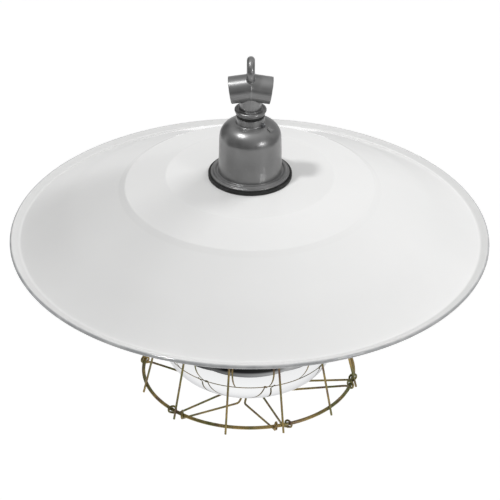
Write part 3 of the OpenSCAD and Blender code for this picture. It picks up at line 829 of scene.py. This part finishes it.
# ---------------------------------------------------------------- guard

WIRE_CHAMFER = 0.25 * MM
LOOP_TURN = 345
LOOP_SPREAD = 0.6 * MM
BENDS_APART = 3.2 * MM
TIPS_APART = 1.5 * MM
BEND_REACH = 4.0 * MM
RUN_IN = 6.0 * MM
RUN_APART = 1.4 * MM
RUN_BELOW = 1.0 * MM
NOSE_RUN = 1.2 * MM
NOSE_IN = 0.5 * MM
NOSE_REACH = 1.0 * MM


def upright_angle(i):
    """Azimuth of an upright wire."""
    middle = (low("guard_wire_01") + high("guard_wire_01")) / 2
    return math.degrees(math.atan2(middle.y, middle.x)) + i * 360 / WIRES


class HEATLAMP_OT_guard(bpy.types.Operator):
    """Draws the guard's two rings and its upright wires"""

    bl_idname = "heatlamp.guard"
    bl_label = "Guard rings and wires"
    bl_options = {"REGISTER", "UNDO"}

    def execute(self, context):
        size = settings("guard")
        zinc = passivated_finish()
        rings = (("guard_ring", RING_R, RING_Z), ("guard_top_ring", TOP_RING_R, TOP_RING_Z))
        for name, radius, z in rings:
            bpy.ops.object.select_all(action="DESELECT")
            bpy.ops.mesh.primitive_torus_add(
                major_segments=192, minor_segments=WIRE_FACES,
                major_radius=radius, minor_radius=RING_WIRE_R, location=(0.0, 0.0, z),
            )
            piece = bpy.context.object
            finished(piece, name + "_wire", "housing", zinc, name, 60.0)
        out = RING_WIRE_R + size.wire
        top_z = high("guard_wire_01").z
        end_z = low("guard_wire_01").z
        slope = (RING_R - TOP_RING_R) / (TOP_RING_Z - RING_Z)
        off = out * math.hypot(1.0, slope)
        for i in range(WIRES):
            name = f"guard_wire_{i + 1:02d}"
            azimuth = upright_angle(i)
            start = spot(azimuth, TOP_RING_R + off - slope * (top_z - TOP_RING_Z), top_z)
            end = spot(azimuth, RING_R + off + slope * (RING_Z - end_z), end_z)
            piece = bar(start, end, size.wire, WIRE_FACES, WIRE_CHAMFER)
            finished(piece, name + "_drawn", "housing", zinc, name, 40.0)
        return {"FINISHED"}


class HEATLAMP_OT_petals(bpy.types.Operator):
    """Bends the six wire petals, each with a loop round the ring at both ends"""

    bl_idname = "heatlamp.petals"
    bl_label = "Guard petals"
    bl_options = {"REGISTER", "UNDO"}

    def execute(self, context):
        size = settings("guard")
        zinc = passivated_finish()
        half_turn = math.radians(180 / LOOPS) - math.asin(size.loop_offset / RING_R)
        hinge = RING_R * math.cos(half_turn)
        half = RING_R * math.sin(half_turn)
        for i in range(LOOPS):
            short = i % 2 == 1
            bend = size.short_bend if short else size.long_bend
            sides = [self.side_path(size, side, hinge, half, bend, short) for side in (-1, 1)]
            path = sides[0] + sides[1][::-1]
            turn = Matrix.Rotation(math.radians(upright_angle(0) + i * 360 / LOOPS), 3, "Z")
            lift = Vector((0.0, 0.0, RING_Z))
            piece = wire([turn @ point + lift for point in path], size.wire)
            name = f"guard_petal_{i + 1}"
            finished(piece, name + "_bent", f"petal_{i + 1}", zinc, name, 60.0)
        return {"FINISHED"}

    def side_path(self, size, side, hinge, half, bend, short):
        """From the loop's cut end, round the ring, along the leg and in to the tip."""
        bend_at = Vector((bend, side * BENDS_APART, -size.dip))
        tip = Vector((size.tip, side * TIPS_APART, -size.dip))
        leave = math.degrees(math.atan2(size.dip, hinge - bend))
        loop = []
        steps = 34
        for step in range(steps + 1):
            phi = math.radians(-90 + leave + LOOP_TURN * (1 - step / steps))
            across = side * (half - LOOP_SPREAD * (2 * step / steps - 1))
            out = hinge + size.loop * math.cos(phi)
            loop.append(Vector((out, across, size.loop * math.sin(phi))))
        run_on = []
        if short:
            run_on = [Vector((hinge - RUN_IN, side * (half + RUN_APART), -size.loop - RUN_BELOW))]
        leg = eased([loop[-1]] + run_on + [bend_at, tip], BEND_REACH)
        turn_in = leg[-1] + Vector((-NOSE_RUN, -side * NOSE_IN, 0.0))
        nose = Vector((size.tip - NOSE_RUN, 0.0, -size.dip))
        end = eased([leg[-1], turn_in, nose], NOSE_REACH, 3)
        return loop + leg[1:-1] + end[:-1]


# ---------------------------------------------------------------- lamp and holder

SHOULDER_SLANT = 35
NECK_CURVE = 40 * MM
BOWL_END = -89.9


def bulb_outline(size, inset):
    """Outline of the bulb from its neck's top down to its lowest point, set in by a distance."""
    mid_z = BULB_LOW_Z + size.bowl_height
    side_x = BULB_R - size.side
    spare = 2 * (size.bowl_height - size.side)
    bowl_r = (side_x**2 + size.bowl_height**2 - size.side**2) / spare
    bowl_z = BULB_LOW_Z + bowl_r
    join = math.degrees(math.atan2(bowl_z - mid_z, side_x))
    slant = math.radians(SHOULDER_SLANT)
    side_r = size.side - inset
    shoulder = Vector((side_x, mid_z)) + side_r * Vector((math.cos(slant), math.sin(slant)))
    neck = size.neck - inset
    cone_z = shoulder.y + (shoulder.x - neck) / math.tan(slant)
    upper = rounded([
        (neck, BULB_TOP_Z, 0),
        (neck, cone_z, NECK_CURVE),
        (shoulder.x, shoulder.y, 0),
    ], 14)
    side = arc((side_x, mid_z), side_r, SHOULDER_SLANT, -join, 26)
    bowl = arc((0.0, bowl_z), bowl_r - inset, -join, BOWL_END, 26)
    return upper + side[1:] + bowl[1:]


class HEATLAMP_OT_lamp(bpy.types.Operator):
    """Blows the mirror bowl lamp and dresses its cap and inner parts"""

    bl_idname = "heatlamp.lamp"
    bl_label = "Lamp"
    bl_options = {"REGISTER", "UNDO"}

    def execute(self, context):
        size = settings("lamp")
        outer = bulb_outline(size, 0.0)
        inner = bulb_outline(size, size.glass)
        piece = self.capped(turned(outer, 192), turned(inner, 192))
        finished(piece, "bulb_blown", "lamp", bulb_finish(), "bulb_glass", 60.0)
        dress(mirror_finish(), "bulb_mirror")
        dress(clear_glass_finish(), "bulb_stem")
        nickel = metal_finish("nickel_plate", (0.62, 0.60, 0.56), (0.45, 0.43, 0.40), 0.18)
        dress(nickel, "bulb_cap")
        solder = metal_finish("solder", (0.45, 0.45, 0.46), (0.32, 0.32, 0.33), 0.4)
        dress(solder, "cap_contact")
        tungsten = metal_finish("tungsten", (0.22, 0.22, 0.23), (0.12, 0.12, 0.13), 0.4)
        dress(tungsten, "filament_supports", "bulb_filament")
        dress(black_glass_finish(), "cap_insulator")
        return {"FINISHED"}

    def capped(self, outer, inner):
        """Closes the outer and inner skins at their lowest points and joins them at the neck."""
        for skin in (outer, inner):
            select_only(skin)
            bpy.ops.object.mode_set(mode="EDIT")
            bpy.ops.mesh.select_all(action="DESELECT")
            bpy.ops.object.mode_set(mode="OBJECT")
            lowest = min(vertex.co.z for vertex in skin.data.vertices)
            for vertex in skin.data.vertices:
                vertex.select = vertex.co.z < lowest + LEVEL
            bpy.ops.object.mode_set(mode="EDIT")
            bpy.ops.mesh.merge(type="CENTER")
            bpy.ops.object.mode_set(mode="OBJECT")
        both = joined([outer, inner])
        highest = max(vertex.co.z for vertex in both.data.vertices)
        bpy.ops.object.mode_set(mode="EDIT")
        bpy.ops.mesh.select_all(action="DESELECT")
        bpy.ops.mesh.select_mode(type="EDGE")
        bpy.ops.object.mode_set(mode="OBJECT")
        verts = both.data.vertices
        for edge in both.data.edges:
            edge.select = all(verts[v].co.z > highest - LEVEL for v in edge.vertices)
        bpy.ops.object.mode_set(mode="EDIT")
        bpy.ops.mesh.bridge_edge_loops()
        bpy.ops.mesh.select_mode(type="VERT")
        bpy.ops.object.mode_set(mode="OBJECT")
        return recalculated(both)


class HEATLAMP_OT_holder(bpy.types.Operator):
    """Dresses the porcelain lampholder and its brass parts"""

    bl_idname = "heatlamp.holder"
    bl_label = "Lampholder"
    bl_options = {"REGISTER", "UNDO"}

    def execute(self, context):
        dress(porcelain_finish(), "lampholder_body")
        dress(
            metal_finish("brass", (0.72, 0.52, 0.20), (0.48, 0.33, 0.13), 0.2),
            "lampholder_shell", "centre_contact", "terminal_live", "terminal_neutral",
            "earth_screw",
        )
        return {"FINISHED"}


# ---------------------------------------------------------------- stage

# Each light's name, its place and width in metres, the setting of its power, and whether it shows
# in gloss
LIGHTS = (
    ("key", (-1.15, -0.35, 2.75), 0.26, "key", True),
    ("softbox_right", (1.70, -1.75, 0.60), 0.55, "softbox", True),
    ("softbox_back", (1.9, 1.5, 1.6), 1.3, "back", False),
)
LIGHTS_AIM = (0.0, 0.0, -0.15)
SENSOR = 36.0
GAP_DEPTH = 0.93
CORNER = (-0.70, 0.68, 0.10)
CORNER_GLOW = 0.06


class HEATLAMP_OT_stage(bpy.types.Operator):
    """Sets the floor, the studio's glow, the lights and the camera"""

    bl_idname = "heatlamp.stage"
    bl_label = "Stage"
    bl_options = {"REGISTER", "UNDO"}

    def execute(self, context):
        size = settings("stage")
        scene = bpy.context.scene
        scene.view_settings.view_transform = "Standard"
        self.camera(size, scene)
        self.floor(size)
        self.studio(size, scene)
        for name, place, width, power, glossy in LIGHTS:
            self.light(name, place, width, getattr(size, power)).visible_glossy = glossy
        return {"FINISHED"}

    def camera(self, size, scene):
        """A long lens above the front, with a slight roll."""
        data = bpy.data.cameras.new("camera")
        data.lens = size.lens
        data.sensor_width = SENSOR
        camera = bpy.data.objects.new("camera", data)
        scene.collection.objects.link(camera)
        place = Matrix.Translation((0.0, -size.camera_back, size.camera_up))
        aim = Matrix.Rotation(-size.pan, 4, "Z") @ Matrix.Rotation(math.pi / 2 - size.pitch, 4, "X")
        camera.matrix_world = place @ aim @ Matrix.Rotation(size.roll, 4, "Z")
        scene.camera = camera

    def floor(self, size):
        """A wide pale floor far below, faintly mottled and brightly lit."""
        bpy.ops.object.select_all(action="DESELECT")
        bpy.ops.mesh.primitive_plane_add(
            size=2 * size.floor_reach, location=(0.0, 0.0, -size.floor_drop)
        )
        piece = bpy.context.object
        piece.name = "floor"
        made = Finish("pale_floor")
        tone = made.blend(made.noise(0.6), size.floor, tuple(0.99 * part for part in size.floor))
        made.paint(
            base_color=tone, emission_color=tone, emission_strength=size.floor_glow, roughness=0.9
        )
        piece.data.materials.append(made.material)

    def studio(self, size, scene):
        """The room's glow, with a dark gap low in front and another at the back left."""
        scene.world = bpy.data.worlds.new("studio")
        scene.world.use_nodes = True
        made = Recipe(scene.world.node_tree)
        way = made.node("ShaderNodeTexCoord", output="Generated")
        side, back, up = (
            made.node("ShaderNodeSeparateXYZ", None, {0: way}, axis) for axis in "XYZ"
        )
        right = made.span(side, -1.0, 1.0)
        far = made.span(back, -1.0, 1.0, size.glow_right, size.glow_back)
        above = made.span(up, 0.0, 1.0)
        glow = size.glow_left * (1.0 - right) + far * right
        glow = glow + size.glow_up * above + size.glow_top * above * above * above * above
        front = made.span(up, 0.25, 0.5, 1.0, 0.0) * made.span(back, -0.6, -0.2, 1.0, 0.0)
        glow = glow + front * (made.span(side, -1.0, 1.0, 0.04, 0.5) - glow)
        gap = made.span(up * up, 0.01, 0.04, 1.0, 0.0) * made.span(back, -0.85, -0.65, 1.0, 0.0)
        glow = glow * (1.0 - GAP_DEPTH * gap)
        middle = made.span(up, 0.15, 0.35, 0.0, 1.0, "SMOOTHSTEP")
        middle = middle * made.span(up, 0.60, 0.85, 1.0, 0.0, "SMOOTHSTEP")
        behind = made.span(back, -0.1, 0.3, 0.0, 1.0)
        glow = glow + size.glow_mid * middle * behind * (1.0 - right)
        horizon = made.span(up, 0.05, 0.45, 1.0, 0.0, "SMOOTHSTEP") * behind
        horizon_glow = made.span(side, -1.0, 1.0, size.glow_low_left, size.glow_low_right)
        glow = glow + horizon * (horizon_glow - glow)
        corner = Vector(CORNER).normalized()
        facing = made.node(
            "ShaderNodeVectorMath", {"operation": "DOT_PRODUCT"}, {0: way, 1: corner}, "Value"
        )
        glow = glow * made.span(facing, 0.83, 0.97, 1.0, CORNER_GLOW, "SMOOTHSTEP")
        seen = made.node("ShaderNodeLightPath", output="Is Camera Ray")
        sky = made.tree.nodes["Background"].inputs
        made.feed(sky["Strength"], glow * (1.0 - seen) + seen)
        made.feed(sky["Color"], (1.0, 1.0, 1.0))

    def light(self, name, place, size, power):
        """A soft square light that looks at the fixture and isn't seen itself."""
        data = bpy.data.lights.new(name, "AREA")
        data.shape = "SQUARE"
        data.size = size
        data.energy = power
        lamp = bpy.data.objects.new(name, data)
        bpy.context.scene.collection.objects.link(lamp)
        aim = (Vector(LIGHTS_AIM) - Vector(place)).to_track_quat("-Z", "Y")
        lamp.matrix_world = Matrix.Translation(place) @ aim.to_matrix().to_4x4()
        lamp.visible_camera = False
        return lamp


# ---------------------------------------------------------------- add-on

OPERATORS = (
    HEATLAMP_OT_stage,
    HEATLAMP_OT_shade,
    HEATLAMP_OT_bell,
    HEATLAMP_OT_head,
    HEATLAMP_OT_guard,
    HEATLAMP_OT_petals,
    HEATLAMP_OT_lamp,
    HEATLAMP_OT_holder,
)


class HEATLAMP_PT_panel(bpy.types.Panel):
    """Lists the steps that dress the fixture"""

    bl_idname = "HEATLAMP_PT_panel"
    bl_label = "Heat Lamp"
    bl_space_type = "VIEW_3D"
    bl_region_type = "UI"
    bl_category = "Heat Lamp"

    def draw(self, context):
        for operator in OPERATORS:
            self.layout.operator(operator.bl_idname)


def register():
    for group in SETTINGS.values():
        bpy.utils.register_class(group)
    for name, group in SETTINGS.items():
        setattr(bpy.types.Scene, "heat_lamp_" + name, bpy.props.PointerProperty(type=group))
    for operator in OPERATORS:
        bpy.utils.register_class(operator)
    bpy.utils.register_class(HEATLAMP_PT_panel)


def unregister():
    bpy.utils.unregister_class(HEATLAMP_PT_panel)
    for operator in reversed(OPERATORS):
        bpy.utils.unregister_class(operator)
    for name, group in SETTINGS.items():
        delattr(bpy.types.Scene, "heat_lamp_" + name)
        bpy.utils.unregister_class(group)


def main():
    """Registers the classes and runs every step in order."""
    register()
    for operator in OPERATORS:
        group, name = operator.bl_idname.split(".")
        getattr(getattr(bpy.ops, group), name)()


if __name__ == "__main__":
    main()
